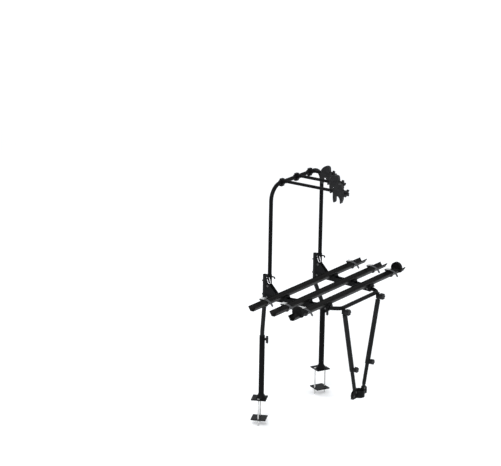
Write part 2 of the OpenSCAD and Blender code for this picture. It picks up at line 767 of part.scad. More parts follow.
// Wheel tray at a distance in front of the hoop's plane.
module tray(y) {
    translate([0, -y, 0]) difference() {
        translate([-tray_x, 0, 0]) rotate([90, 0, 90]) linear_extrude(tray_len) tray_section();
        for (s = [-1, 1], b = [-1, 1])
            translate([s * channel_x(y) + b * tray_bolt_pitch / 2, 0, tray_low_z - cut_over])
            cylinder(d = tray_bolt_d + 2 * loose_gap, h = tray_t + 2 * cut_over);
    }
}

// The bolts that hold one tray on its two saddles, with domed heads and hexagon nuts.
module tray_bolts_one(y) {
    nut_z = channel_top_z - loose_gap / 2 - tray_nut_h;
    head_z = tray_floor_z + loose_gap / 2;
    for (s = [-1, 1], b = [-1, 1]) translate([s * channel_x(y) + b * tray_bolt_pitch / 2, -y, 0]) {
        translate([0, 0, nut_z - step]) cylinder(d = tray_bolt_d, h = head_z + 2 * step - nut_z);
        translate([0, 0, nut_z]) cylinder(d = tray_nut_d, h = tray_nut_h, $fn = 6);
        translate([0, 0, head_z]) cylinder(d1 = tray_head_d, d2 = tray_head_d / 2, h = head_h * flat_share);
    }
}

// Front bar: a tube whose bent ends lie in the side channels, with two lugs for the legs.
module front_bar_all() {
    difference() {
        union() {
            front_run(tube_d, 0);
            for (s = [-1, 1]) side(s) lug();
        }
        front_run(tube_d - 2 * tube_wall, cut_over);
        for (s = [-1, 1]) {
            side(s) in_channel() shaft_x(bolt_d + 2 * loose_gap, 2 * tube_d);
            translate([s * leg_top_w / 2, -bar_y, leg_top_z]) shaft_front(pivot_d + 2 * loose_gap, tube_d);
        }
    }
}

// The run of the front bar, lengthened at both ends by the given amount.
module front_run(d, over) {
    run_x = channel_front_x / 2 - bar_mouth * tan(channel_angle) - bar_corner_w / 2;
    run_y = bar_y - channel_front_y - bar_mouth;
    turn = atan2(run_y, run_x);
    turn_in = 90 - channel_angle - turn;
    cut = bar_bend_r * tan(turn / 2);
    cut_in = bar_bend_r * tan(turn_in / 2);
    arm_len = sqrt(run_x * run_x + run_y * run_y) - cut - cut_in;
    translate([0, -bar_y, bar_z]) shaft_x(d, bar_corner_w - 2 * cut - 2 * step);
    for (s = [-1, 1]) side(s) translate([bar_corner_w / 2 - cut, -bar_y, bar_z])
        rotate([0, 90, 0]) rotate([0, 0, 90]) {
            seam(d);
            bend(d, bar_bend_r, turn);
            round_bend(bar_bend_r, turn) {
                seam(d);
                past(step) cylinder(d = d, h = arm_len - 2 * step);
                past(arm_len) {
                    seam(d);
                    bend(d, bar_bend_r, turn_in);
                    round_bend(bar_bend_r, turn_in) {
                        seam(d);
                        past(step) cylinder(d = d, h = bar_insert + bar_mouth - cut_in + over - step);
                    }
                }
            }
        }
}

// Lug below the front bar that holds the right leg's upper pivot.
module lug() {
    face = bar_y + tube_d / 2 - loose_gap / 2;
    drop = leg_top_z - ear_r - loose_gap;
    translate([leg_top_w / 2 - lug_w / 2, -face, drop]) cube([lug_w, lug_t, bar_z - drop]);
}

// Wheel stop that stands astride the outermost tray: a cup open to the rack's middle.
module wheel_stop(s) {
    low_r = stop_d / 2;
    side(s) translate([stop_x - stop_t / 2, -tray_3_y, 0]) rotate([90, 0, 90]) difference() {
        union() {
            translate([0, stop_z, 0]) cylinder(d = stop_d, h = stop_t);
            linear_extrude(stop_t) polygon([[-low_r, stop_z], [low_r, stop_z],
                [stop_foot_w / 2, stop_low_z], [-stop_foot_w / 2, stop_low_z]]);
        }
        translate([-stop_d, stop_low_z - stop_d, -cut_over]) cube([2 * stop_d, stop_d, stop_t + 2 * cut_over]);
        translate([0, 0, -cut_over]) linear_extrude(stop_t + 2 * cut_over) tray_outline(loose_gap);
        difference() {
            translate([0, stop_z, -cut_over])
                cylinder(r = low_r - stop_rim, h = stop_t - stop_back + cut_over);
            translate([-stop_d, tray_top_z + loose_gap + stop_rim - 2 * stop_d, -2 * cut_over])
                cube([2 * stop_d, 2 * stop_d, stop_t + 4 * cut_over]);
        }
    }
}

// Strap that arches over a tray.
module strap(s, y) {
    translate([s * strap_x - strap_w / 2, -y + strap_back, strap_z]) rotate([90, 0, 90])
        linear_extrude(strap_w) strap_arc();
}

// Side view of the strap's arch.
module strap_arc() {
    far = 3 * strap_r;
    mid = (strap_start + strap_end) / 2;
    intersection() {
        ring(2 * (strap_r + strap_t), strap_t);
        polygon([[0, 0], [far * cos(strap_start), far * sin(strap_start)],
            [far * cos(mid), far * sin(mid)], [far * cos(strap_end), far * sin(strap_end)]]);
    }
}

// Anchor below a tray, with an arm that rises along the tray's front wall to the strap.
module strap_anchor(s, y) {
    top = tray_w / 2 + loose_gap;
    foot = tray_foot_w / 2;
    high = tray_low_z - loose_gap;
    end_z = tray_top_z - cheek_t * clear_share;
    translate([s * strap_x - strap_w / 2, -y, 0]) rotate([90, 0, 90]) linear_extrude(strap_w)
        polygon([[anchor_w / 2, high - anchor_t], [anchor_w / 2, high], [-foot - loose_gap / 2, high],
            [-top, lip_z], [-top, end_z], [-top - cheek_t, end_z], [-top - cheek_t, lip_z],
            [-foot - cheek_t * flat_share, high - anchor_t]]);
}

// Ratchet body above and behind a tray's rear edge: a back plate, two cheeks and the lever's axle.
module ratchet_body(s, y) {
    out = strap_w / 2 + loose_gap + cheek_t;
    low = tray_top_z + loose_gap;
    back = tray_w / 2 + loose_gap;
    translate([s * strap_x, -y, 0]) {
        translate([-out, back, tray_top_z - ratchet_drop])
            cube([2 * out, cheek_t, ratchet_drop + cheek_t * flat_share + loose_gap]);
        for (c = [-1, 1]) translate([c * (out - cheek_t / 2) - cheek_t / 2, 0, 0]) {
            translate([0, ratchet_y - cheek_len, low]) cube([cheek_t, cheek_len, ratchet_z + hub_r - low]);
            translate([cheek_t / 2, ratchet_y, ratchet_z]) shaft_x(2 * hub_r, cheek_t);
        }
        translate([0, ratchet_y, ratchet_z]) shaft_x(axle_d, 2 * out);
    }
}

// Ratchet lever: a hub on the axle and a broad handle that lies forward over the strap.
module lever(s, y) {
    out = strap_w / 2 + loose_gap + cheek_t;
    high = hub_r + loose_gap;
    translate([s * strap_x, -y + ratchet_y, ratchet_z]) difference() {
        union() {
            shaft_x(2 * hub_r, strap_w);
            translate([-strap_w / 2, -hub_r, 0]) cube([strap_w, hub_r, high + lever_t / 2]);
            translate([-out, -axle_d / 2 - lever_len, high]) cube([2 * out, lever_len, lever_t]);
            translate([-out, -axle_d / 2 - lever_len, high]) 
                cube([2 * out, lever_t, lever_t * (1 + clear_share)]);
        }
        shaft_x(axle_d + 2 * fit_gap, 2 * strap_w);
    }
}

// Hoop: two legs, two bends and the top bar, with hinge holes and open notches for the hitch pins.
module hoop_all() {
    foot_z = fold_z - leg_drop;
    rise = hoop_top_z - hoop_bend_r - foot_z;
    difference() {
        union() {
            for (s = [-1, 1]) side(s) translate([leg_x, 0, foot_z]) {
                pipe(tube_d, tube_wall, rise);
                past(rise) rotate([0, 0, 180]) elbow(tube_d, tube_wall, hoop_bend_r, 90);
            }
            translate([-leg_x + hoop_bend_r, 0, hoop_top_z]) rotate([0, 90, 0])
                pipe(tube_d, tube_wall, hoop_w - 2 * hoop_bend_r);
        }
        for (s = [-1, 1]) side(s) translate([leg_x, 0, 0]) {
            translate([0, 0, fold_z]) shaft_x(pivot_d + 2 * fit_gap, 2 * tube_d);
            translate([0, pin_y, pin_z]) shaft_x(pin_d + 2 * loose_gap, 2 * tube_d);
            translate([-tube_d, pin_y, pin_z - pin_d / 2 - pin_drop - loose_gap])
                cube([2 * tube_d, tube_d, pin_d + pin_drop + 3 * loose_gap / 2]);
        }
    }
}

// Arm: the front half of its clamp block on the hoop bar, welded to the rod, its collar and its thinner end.
module arm(x, claw_y) {
    rod_len = claw_y - loose_gap - tube_d / 2;
    end_len = claw_y + prong_t * flat_share - tube_d / 2;
    face = block_d / 2 + cut_over;
    translate([x, 0, hoop_top_z]) difference() {
        union() {
            block_half(-1);
            translate([0, -tube_d / 2, arm_up]) shaft_front(arm_d, rod_len);
            translate([0, -tube_d / 2, arm_up]) shaft_front(arm_end_d, end_len);
            translate([0, -tube_d / 2, arm_up])
                shaft_front(arm_d + 2 * collar_t, face + collar_len - tube_d / 2);
        }
        translate([0, -face, arm_up])
            shaft_front(arm_d - 2 * arm_wall, claw_y - loose_gap - arm_wall - face);
        translate([0, -face, arm_up]) shaft_front(arm_end_d - 2 * arm_wall, end_len);
        shaft_x(tube_d + 2 * fit_gap, 2 * block_w);
        for (s = [-1, 1]) translate([0, block_lug_t, s * (block_reach - block_bolt_in)])
            shaft_front(tray_bolt_d + 2 * loose_gap, 2 * block_lug_t);
    }
}

// Front (-1) or rear (1) half of a clamp block, round the hoop bar's centreline.
module block_half(way) {
    difference() {
        union() {
            shaft_x(block_d, block_w);
            cube([block_w, block_lug_t, 2 * block_reach], center = true);
        }
        translate([-block_w, way < 0 ? -block_gap / 2 : block_gap / 2 - block_d, -block_d])
            cube([2 * block_w, block_d, 2 * block_d]);
    }
}

// Rear half of an arm's clamp block with its two bolts.
module arm_cap(x) {
    translate([x, 0, hoop_top_z]) difference() {
        union() {
            block_half(1);
            for (s = [-1, 1]) translate([0, block_lug_t / 2 + head_h, s * (block_reach - block_bolt_in)]) {
                shaft_front(tray_bolt_d, block_lug_t + head_h);
                shaft_front(tray_bolt_d * head_share, head_h);
            }
        }
        shaft_x(tube_d + 2 * fit_gap, 2 * block_w);
    }
}

// Side outline of the claw's fixed body, as distance behind its rear face and height.
module claw_outline() {
    head = [for (p = head_shares) [-p[0] * claw_depth, hoop_top_z + p[1] * claw_up]];
    prong = [for (p = prong_shares) [-p[0] * prong_t, hoop_top_z + p[1] * claw_down]];
    front = [-claw_depth, arch_z];
    inner = [-prong_t, arch_z];
    polygon(smooth(concat(head, [front, front, inner, inner], prong)));
}

// Fixed body of a claw: curved head, rear prong, a pocket for the sliding jaw and holes for rod and screw.
module claw(x, y) {
    pocket_back = prong_t + loose_gap;
    pocket_len = claw_depth - front_wall - pocket_back;
    translate([x, -y, 0]) difference() {
        translate([-claw_w / 2, 0, 0]) rotate([90, 0, 90]) linear_extrude(claw_w) claw_outline();
        translate([-pocket_hw, -pocket_back - pocket_len, arch_z - cut_over])
            cube([2 * pocket_hw, pocket_len, arm_z + screw_d + loose_gap - arch_z + cut_over]);
        translate([0, cut_over, arm_z])
            shaft_front(arm_end_d + 2 * loose_gap, prong_t * flat_share + cut_over + loose_gap);
        translate([0, -claw_depth + 2 * front_wall, arm_z]) shaft_front(screw_d + 2 * fit_gap, 3 * front_wall);
    }
}

// Sliding jaw of a claw: a tongue in the pocket and a curved finger below the head.
module jaw(x, y) {
    tongue = pocket_hw - loose_gap / 2;
    high = arch_z - loose_gap;
    root = [-jaw_root, high];
    shoulder = [-claw_depth, high];
    finger = [for (p = jaw_shares) [-p[0] * claw_depth, hoop_top_z + p[1] * claw_down]];
    translate([x, -y, 0]) difference() {
        union() {
            translate([-tongue, -jaw_root - tongue_t, high - cut_over])
                cube([2 * tongue, tongue_t, arm_z + screw_d - high + cut_over]);
            translate([-claw_w / 2, 0, 0]) rotate([90, 0, 90]) linear_extrude(claw_w)
                polygon(smooth(concat([root, root, shoulder, shoulder], finger)));
        }
        translate([0, -jaw_root + cut_over, arm_z]) shaft_front(screw_d + 2 * fit_gap, tongue_t + 2 * cut_over);
    }
}

// Star knob: lobes round a core, drawn along Z from the origin.
module star_knob(d, len) {
    lobe_r = d * lobe_share;
    cylinder(r = d / 2 - lobe_r, h = len);
    for (i = [0 : knob_lobes - 1]) rotate([0, 0, i * 360 / knob_lobes])
        translate([d / 2 - lobe_r, 0, 0]) cylinder(r = lobe_r, h = len, $fn = 48);
}

// Knob and screw of a claw: a barrel, four wings and a cap, resting at the given turn.
module claw_knob(x, y, turn) {
    back = claw_depth - prong_t - loose_gap;
    arm = wing_d / 2 - wing_w / 2;
    translate([x, -y - claw_depth - loose_gap, arm_z]) {
        translate([0, back, 0]) shaft_front(screw_d, back + barrel_len);
        shaft_front(barrel_d, barrel_len);
        translate([0, -barrel_len, 0]) shaft_front(cap_d, wing_t + cap_len);
        translate([0, -barrel_len, 0]) rotate([90, 0, 0]) for (a = [0, 90]) rotate([0, 0, a + turn]) {
            translate([-arm, -wing_w / 2, -step]) cube([2 * arm, wing_w, wing_t + step]);
            for (s = [-1, 1]) translate([s * arm, 0, -step]) cylinder(d = wing_w, h = wing_t + step);
        }
    }
}

// Hitch pin at a bracket: it runs along X, its handle bends to the front and hooks down.
module hitch_pin(x) {
    back = plate_out + 3 * clip_d;
    run = back + plate_out + pin_d / 2;
    translate([x - back, pin_y, pin_z]) difference() {
        rotate([0, 90, 0]) {
            cylinder(d = pin_d, h = run);
            past(run) rotate([0, 0, -90]) {
                bend(pin_d, pin_bend_r, 90);
                round_bend(pin_bend_r, 90) {
                    cylinder(d = pin_d, h = pin_handle);
                    past(pin_handle) rotate([0, 0, 90]) {
                        bend(pin_d, pin_bend_r, 90);
                        round_bend(pin_bend_r, 90) cylinder(d = pin_d, h = pin_tip);
                    }
                }
            }
        }
        translate([3 * clip_d / 2, 0, 0]) rotate([-clip_lean, 0, 0])
            cylinder(d = clip_d + 2 * fit_gap, h = 2 * pin_d, center = true);
    }
}

// Hairpin clip through the end of a hitch pin, its loop below.
module hairpin(x) {
    translate([x - plate_out - 3 * clip_d / 2, pin_y, pin_z]) rotate([-clip_lean, 0, 0])
        translate([0, 0, clip_up]) rotate([180, 0, -90]) {
            cylinder(d = clip_d, h = clip_leg - step);
            past(clip_leg) {
                seam(clip_d);
                bend(clip_d, clip_r, 180);
                translate([2 * clip_r, 0, 0]) seam(clip_d);
                translate([2 * clip_r, 0, clip_up / 2 - clip_leg])
                    cylinder(d = clip_d, h = clip_leg - clip_up / 2 - step);
            }
        }
}

// Moves what follows to the right leg's lower pivot, with +Z along the leg.
module on_leg() {
    translate([leg_low_w / 2, -leg_y, leg_low_z]) rotate([0, leg_tilt, 0]) children();
}

// Outer tube of the right leg with its flat ear and the boss of the locking knob.
module leg_outer_one() {
    low = leg_len - leg_outer_len;
    bore = leg_inner_d + 2 * fit_gap;
    on_leg() difference() {
        union() {
            past(low) cylinder(d = leg_outer_d, h = leg_outer_len - ear_len);
            translate([-ear_r, -ear_t / 2, leg_len - ear_len - ear_r])
                cube([2 * ear_r, ear_t, ear_len + ear_r]);
            translate([0, ear_t / 2, leg_len]) shaft_front(2 * ear_r, ear_t);
            past(low + lock_up) shaft_front(boss_d, leg_outer_d / 2 + boss_h / 2);
        }
        past(low - cut_over) cylinder(d = bore, h = leg_outer_len - ear_len - ear_r + cut_over);
        past(low + lock_up) shaft_front(screw_d + 2 * fit_gap, leg_outer_d);
        translate([0, ear_t, leg_len]) shaft_front(pivot_d + 2 * open_gap, 2 * ear_t);
    }
}

// Inner tube of the right leg with its flat ear.
module leg_inner_one() {
    on_leg() difference() {
        union() {
            past(ear_len) cylinder(d = leg_inner_d, h = leg_inner_len - ear_len);
            translate([-ear_r, -ear_t / 2, 0]) cube([2 * ear_r, ear_t, ear_len + ear_r / 2]);
            translate([0, ear_t / 2, 0]) shaft_front(2 * ear_r, ear_t);
        }
        past(ear_len + ear_r) cylinder(d = leg_inner_d - 2 * leg_inner_wall, h = leg_inner_len);
        translate([0, ear_t, 0]) shaft_front(pivot_d + 2 * fit_gap, 2 * ear_t);
    }
}

// Knob and bolt of the right leg's upper pivot.
module top_knob_one() {
    lug_back = leg_y - ear_t / 2 - loose_gap - lug_t;
    reach = ear_t + lug_t + 3 * loose_gap;
    head_t = head_h * flat_share;
    translate([leg_top_w / 2, -lug_back, leg_top_z]) {
        translate([0, head_t + loose_gap, 0]) shaft_front(pivot_d, reach + head_t + stem_h);
        translate([0, head_t + loose_gap, 0]) rotate([90, 0, 0])
            cylinder(d = pivot_d * head_share, h = head_t, $fn = 6);
        translate([0, -reach, 0]) shaft_front(stem_d, stem_h);
        translate([0, -reach - stem_h, 0]) rotate([90, 0, 0]) star_knob(top_knob_d, top_knob_h);
    }
}

// Locking knob of the right leg.
module lock_knob_one() {
    start = leg_inner_d / 2 + fit_gap + loose_gap;
    reach = leg_outer_d / 2 + boss_h / 2 + loose_gap;
    on_leg() past(leg_len - leg_outer_len + lock_up) {
        translate([0, -start, 0]) shaft_front(screw_d, reach - start + stem_h);
        translate([0, -reach, 0]) shaft_front(stem_d, stem_h / 2);
        translate([0, -reach - stem_h / 2, 0]) rotate([90, 0, 0]) star_knob(lock_knob_d, lock_knob_h);
    }
}

// Half band of the jack clamp, drawn for the front half; the rear half is its mirror image.
module jack_band_front() {
    gap = ear_t / 2 + loose_gap;
    translate([0, -leg_y, 0]) difference() {
        union() {
            intersection() {
                translate([0, 0, band_low_z])
                    cylinder(d = jack_d + 2 * band_t, h = band_top_z - band_low_z);
                translate([-jack_d, -jack_d - gap, 0]) cube([2 * jack_d, jack_d, band_ear_z]);
            }
            translate([0, -gap, 0]) rotate([90, 0, 0]) linear_extrude(band_t) band_outline();
        }
        translate([0, 0, band_low_z - cut_over]) cylinder(d = jack_d, h = band_ear_z);
        for (s = [-1, 1]) {
            translate([s * leg_low_w / 2, 0, leg_low_z]) shaft_front(pivot_d + 2 * loose_gap, jack_d);
            translate([s * band_bolt_x, 0, (band_low_z + band_top_z) / 2])
                shaft_front(band_bolt_d + 2 * loose_gap, jack_d);
        }
    }
}

// Front view of the bands' ears.
module band_outline() {
    polygon([[-band_ear_x, band_low_z], [band_ear_x, band_low_z], [band_ear_x, band_top_z - band_t],
        [band_rise_x, band_ear_z], [leg_low_w / 2 - ear_r, band_ear_z],
        [jack_d / 2, band_top_z], [-jack_d / 2, band_top_z], [-leg_low_w / 2 + ear_r, band_ear_z],
        [-band_rise_x, band_ear_z], [-band_ear_x, band_top_z - band_t]]);
}

// The four bolts of the jack clamp: two carry the legs and two draw the bands together.
module jack_bolts_all() {
    half = ear_t / 2 + 2 * loose_gap + band_t;
    mid_z = (band_low_z + band_top_z) / 2;
    for (s = [-1, 1]) {
        translate([s * leg_low_w / 2, half - leg_y, leg_low_z]) bolt_front(pivot_d, 2 * half);
        translate([s * band_bolt_x, half - leg_y, mid_z]) bolt_front(band_bolt_d, 2 * half);
    }
}

module sleeve_left() { color("dimgray") side(-1) sleeve_one(); }
module sleeve_right() { color("dimgray") side(1) sleeve_one(); }
module lower_plates() { color("black") for (s = [-1, 1]) side(s) clamp_plate(-rail_h - clamp_t); }
module drawbar_bolts() { color("gainsboro") for (s = [-1, 1]) side(s) clamp_bolts_one(); }
module jack_bands() {
    color("dimgray") {
        jack_band_front();
        translate([0, -2 * leg_y, 0]) mirror([0, 1, 0]) jack_band_front();
    }
}
module jack_bolts() { color("gainsboro") jack_bolts_all(); }
module tee_screw_left() { color("black") side(-1) tee_one(); }
module tee_screw_right() { color("black") side(1) tee_one(); }
module post_left() { color("dimgray") side(-1) post_one(); }
module post_right() { color("dimgray") side(1) post_one(); }
module bracket_left() { color("gray") side(-1) bracket_one(); }
module bracket_right() { color("gray") side(1) bracket_one(); }
module bracket_bolts() { color("gainsboro") for (s = [-1, 1]) side(s) bracket_bolts_one(); }
module side_channel_left() { color("gray") side(-1) channel_one(); }
module side_channel_right() { color("gray") side(1) channel_one(); }
module saddles() { color("gray") for (s = [-1, 1]) side(s) for (y = [tray_1_y, tray_2_y, tray_3_y]) saddle(y); }
module tray_1() { color("black") tray(tray_1_y); }
module tray_2() { color("black") tray(tray_2_y); }
module tray_3() { color("black") tray(tray_3_y); }
module tray_bolts() { color("gainsboro") for (y = [tray_1_y, tray_2_y, tray_3_y]) tray_bolts_one(y); }
module front_bar() { color("dimgray") front_bar_all(); }
module wheel_stops() { color("black") for (s = [-1, 1]) wheel_stop(s); }
module straps() { color("black") for (s = [-1, 1], y = [tray_1_y, tray_2_y, tray_3_y]) strap(s, y); }
module strap_anchors() {
    color("black") for (s = [-1, 1], y = [tray_1_y, tray_2_y, tray_3_y]) strap_anchor(s, y);
}
module ratchet_bodies() {
    color("black") for (s = [-1, 1], y = [tray_1_y, tray_2_y, tray_3_y]) ratchet_body(s, y);
}
module lever_1_left() { color("black") lever(-1, tray_1_y); }
module lever_1_right() { color("black") lever(1, tray_1_y); }
module lever_2_left() { color("black") lever(-1, tray_2_y); }
module lever_2_right() { color("black") lever(1, tray_2_y); }
module lever_3_left() { color("black") lever(-1, tray_3_y); }
module lever_3_right() { color("black") lever(1, tray_3_y); }
module hoop() { color("dimgray") hoop_all(); }
module arm_1() { color("dimgray") arm(arm_1_x, claw_1_y); }
module arm_2() { color("dimgray") arm(arm_2_x, claw_2_y); }
module arm_3() { color("dimgray") arm(arm_3_x, claw_3_y); }
module arm_cap_1() { color("black") arm_cap(arm_1_x); }
module arm_cap_2() { color("black") arm_cap(arm_2_x); }
module arm_cap_3() { color("black") arm_cap(arm_3_x); }
module claw_1() { color("black") claw(arm_1_x, claw_1_y); }
module claw_2() { color("black") claw(arm_2_x, claw_2_y); }
module claw_3() { color("black") claw(arm_3_x, claw_3_y); }
module jaw_1() { color("black") jaw(arm_1_x, claw_1_y); }
module jaw_2() { color("black") jaw(arm_2_x, claw_2_y); }
module jaw_3() { color("black") jaw(arm_3_x, claw_3_y); }
module claw_knob_1() { color("black") claw_knob(arm_1_x, claw_1_y, 0); }
module claw_knob_2() { color("black") claw_knob(arm_2_x, claw_2_y, 0); }
module claw_knob_3() { color("black") claw_knob(arm_3_x, claw_3_y, knob_turn); }
module hitch_pin_left() { color("black") hitch_pin(-leg_x); }
module hitch_pin_right() { color("black") hitch_pin(leg_x); }
module hairpin_left() { color("gainsboro") hairpin(-leg_x); }
module hairpin_right() { color("gainsboro") hairpin(leg_x); }
module leg_outer_left() { color("dimgray") side(-1) leg_outer_one(); }
module leg_outer_right() { color("dimgray") side(1) leg_outer_one(); }
module leg_inner_left() { color("silver") side(-1) leg_inner_one(); }
module leg_inner_right() { color("silver") side(1) leg_inner_one(); }
module leg_top_knob_left() { color("black") side(-1) top_knob_one(); }
module leg_top_knob_right() { color("black") side(1) top_knob_one(); }
module leg_lock_knob_left() { color("black") side(-1) lock_knob_one(); }
module leg_lock_knob_right() { color("black") side(1) lock_knob_one(); }

sleeve_left();
sleeve_right();
lower_plates();
drawbar_bolts();
jack_bands();
jack_bolts();
tee_screw_left();
tee_screw_right();
post_left();
post_right();
bracket_left();
bracket_right();
bracket_bolts();
side_channel_left();
side_channel_right();
saddles();
tray_1();
tray_2();
tray_3();
tray_bolts();
front_bar();
wheel_stops();
straps();
strap_anchors();
ratchet_bodies();
lever_1_left();
lever_1_right();
lever_2_left();
lever_2_right();
lever_3_left();
lever_3_right();
hoop();
arm_1();
arm_2();
arm_3();
arm_cap_1();
arm_cap_2();
arm_cap_3();
claw_1();
claw_2();
claw_3();
jaw_1();
jaw_2();
jaw_3();
claw_knob_1();
claw_knob_2();
claw_knob_3();
hitch_pin_left();
hitch_pin_right();
hairpin_left();
hairpin_right();
leg_outer_left();
leg_outer_right();
leg_inner_left();
leg_inner_right();
leg_top_knob_left();
leg_top_knob_right();
leg_lock_knob_left();
leg_lock_knob_right();
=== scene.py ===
import bpy
import math
from mathutils import Matrix, Vector


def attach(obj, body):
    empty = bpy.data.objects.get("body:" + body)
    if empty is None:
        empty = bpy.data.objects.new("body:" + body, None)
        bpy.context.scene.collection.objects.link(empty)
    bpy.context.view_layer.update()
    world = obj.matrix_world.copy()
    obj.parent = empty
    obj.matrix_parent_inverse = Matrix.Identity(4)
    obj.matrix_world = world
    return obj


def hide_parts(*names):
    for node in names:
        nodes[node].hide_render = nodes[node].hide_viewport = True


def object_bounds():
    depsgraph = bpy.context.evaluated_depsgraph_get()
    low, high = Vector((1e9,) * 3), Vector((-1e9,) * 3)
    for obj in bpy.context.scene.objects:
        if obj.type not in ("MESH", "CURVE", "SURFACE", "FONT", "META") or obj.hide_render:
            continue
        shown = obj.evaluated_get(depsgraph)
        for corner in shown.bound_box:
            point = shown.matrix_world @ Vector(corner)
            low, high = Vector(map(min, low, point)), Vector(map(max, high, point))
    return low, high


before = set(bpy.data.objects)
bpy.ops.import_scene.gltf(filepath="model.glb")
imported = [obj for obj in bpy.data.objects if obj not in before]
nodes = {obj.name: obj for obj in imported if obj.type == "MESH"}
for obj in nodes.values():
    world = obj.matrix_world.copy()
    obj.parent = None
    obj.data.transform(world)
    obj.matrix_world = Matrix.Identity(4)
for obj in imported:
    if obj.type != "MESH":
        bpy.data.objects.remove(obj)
cad_box = [list(v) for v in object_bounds()]
bpy.ops.object.select_all(action="DESELECT")
scene = bpy.context.scene
QUARTER = math.pi / 2

# Places and sizes repeated from the part's source, in metres. A strap's centre is given by
# how far it lies behind its tray's middle and by its height

TRAY_Y = {1: -0.1275, 2: -0.3045, 3: -0.4595}
STRAP_X = 0.558
STRAP_CENTRE = (0.003, 0.742)
STRAP_RADIUS, STRAP_WIDTH = 0.0748, 0.020
STRAP_START, STRAP_END = math.radians(68), math.radians(153)
SLEEVE_X, SLEEVE_Y, SLEEVE_R, TEE_Z = 0.390, 0.008, 0.020, 0.455
LUG_X, LUG_Y, LUG_Z, LUG_WIDTH = 0.2120, -0.5586, 0.7396, 0.012
ARM_X = {1: 0.162, 2: -0.008, 3: -0.192}
ARM_Z, HOOP_TOP_Z = 1.573, 1.562
BLOCK_R, BLOCK_LUG = 0.021, 0.010


# Surface effects

def new_group(name, colours, numbers):
    """Node group with colour and number inputs and the outputs Colour, Roughness and Normal."""
    g = bpy.data.node_groups.new(name, "ShaderNodeTree")
    for n, v in colours.items():
        socket = g.interface.new_socket(n, in_out="INPUT", socket_type="NodeSocketColor")
        socket.default_value = (*v, 1)
    for n, v in numbers.items():
        socket = g.interface.new_socket(n, in_out="INPUT", socket_type="NodeSocketFloat")
        socket.default_value = v
    g.interface.new_socket("Colour", in_out="OUTPUT", socket_type="NodeSocketColor")
    g.interface.new_socket("Roughness", in_out="OUTPUT", socket_type="NodeSocketFloat")
    g.interface.new_socket("Normal", in_out="OUTPUT", socket_type="NodeSocketVector")
    return g, g.nodes.new("NodeGroupInput").outputs, g.nodes.new("NodeGroupOutput").inputs


def feed(tree, value, socket):
    """Links an output to a socket, or writes a plain number into it."""
    if hasattr(value, "links"):
        tree.links.new(value, socket)
    else:
        socket.default_value = value


def object_points(tree, scale=(1, 1, 1)):
    """Object coordinates, stretched by a scale."""
    here = tree.nodes.new("ShaderNodeTexCoord")
    mapping = tree.nodes.new("ShaderNodeMapping")
    mapping.inputs["Scale"].default_value = scale
    tree.links.new(here.outputs["Object"], mapping.inputs["Vector"])
    return mapping.outputs["Vector"]


def noise(tree, at, scale, detail=4.0, rough=0.55):
    n = tree.nodes.new("ShaderNodeTexNoise")
    n.inputs["Scale"].default_value = scale
    n.inputs["Detail"].default_value = detail
    n.inputs["Roughness"].default_value = rough
    tree.links.new(at, n.inputs["Vector"])
    return n.outputs["Fac"]


def spread(tree, value, low, high, to_low=0.0, to_high=1.0):
    """Maps a value from one range to another and keeps it inside the second."""
    m = tree.nodes.new("ShaderNodeMapRange")
    tree.links.new(value, m.inputs["Value"])
    feed(tree, low, m.inputs["From Min"])
    feed(tree, high, m.inputs["From Max"])
    feed(tree, to_low, m.inputs["To Min"])
    feed(tree, to_high, m.inputs["To Max"])
    return m.outputs["Result"]


def blend_colours(tree, share, a, b):
    m = tree.nodes.new("ShaderNodeMix")
    m.data_type = "RGBA"
    tree.links.new(share, m.inputs["Factor"])
    tree.links.new(a, m.inputs[6])
    tree.links.new(b, m.inputs[7])
    return m.outputs[2]


def calculate(tree, operation, a, b):
    m = tree.nodes.new("ShaderNodeMath")
    m.operation = operation
    feed(tree, a, m.inputs[0])
    feed(tree, b, m.inputs[1])
    return m.outputs[0]


def relief(tree, height, strength, distance):
    """Normal of a surface raised by a height, whose full depth is the distance in metres."""
    b = tree.nodes.new("ShaderNodeBump")
    b.inputs["Distance"].default_value = distance
    tree.links.new(height, b.inputs["Height"])
    feed(tree, strength, b.inputs["Strength"])
    return b.outputs["Normal"]


def powder_coat_group():
    """Powder coat: orange peel, a cloudy tone, settled dust and small rubbed specks."""
    g, given, out = new_group(
        "powder_coat", {"Dark": (0.005,) * 3, "Light": (0.01,) * 3, "Dust": (0.03,) * 3},
        {"Smooth": 0.36, "Dull": 0.5, "Peel": 0.25})
    at = object_points(g)
    cloud = noise(g, at, scale=9, detail=5)
    peel = noise(g, at, scale=420, detail=2)
    specks = noise(g, at, scale=55, detail=6, rough=0.7)
    rubbed = spread(g, specks, low=0.64, high=0.74, to_high=0.5)
    base = blend_colours(g, spread(g, cloud, low=0.35, high=0.68), given["Dark"], given["Light"])
    g.links.new(blend_colours(g, rubbed, base, given["Dust"]), out["Colour"])
    sheen = spread(g, cloud, low=0.3, high=0.7, to_low=given["Smooth"], to_high=given["Dull"])
    g.links.new(sheen, out["Roughness"])
    height = calculate(g, "ADD", peel, calculate(g, "MULTIPLY", cloud, 0.4))
    g.links.new(relief(g, height, strength=given["Peel"], distance=0.0004), out["Normal"])
    return g


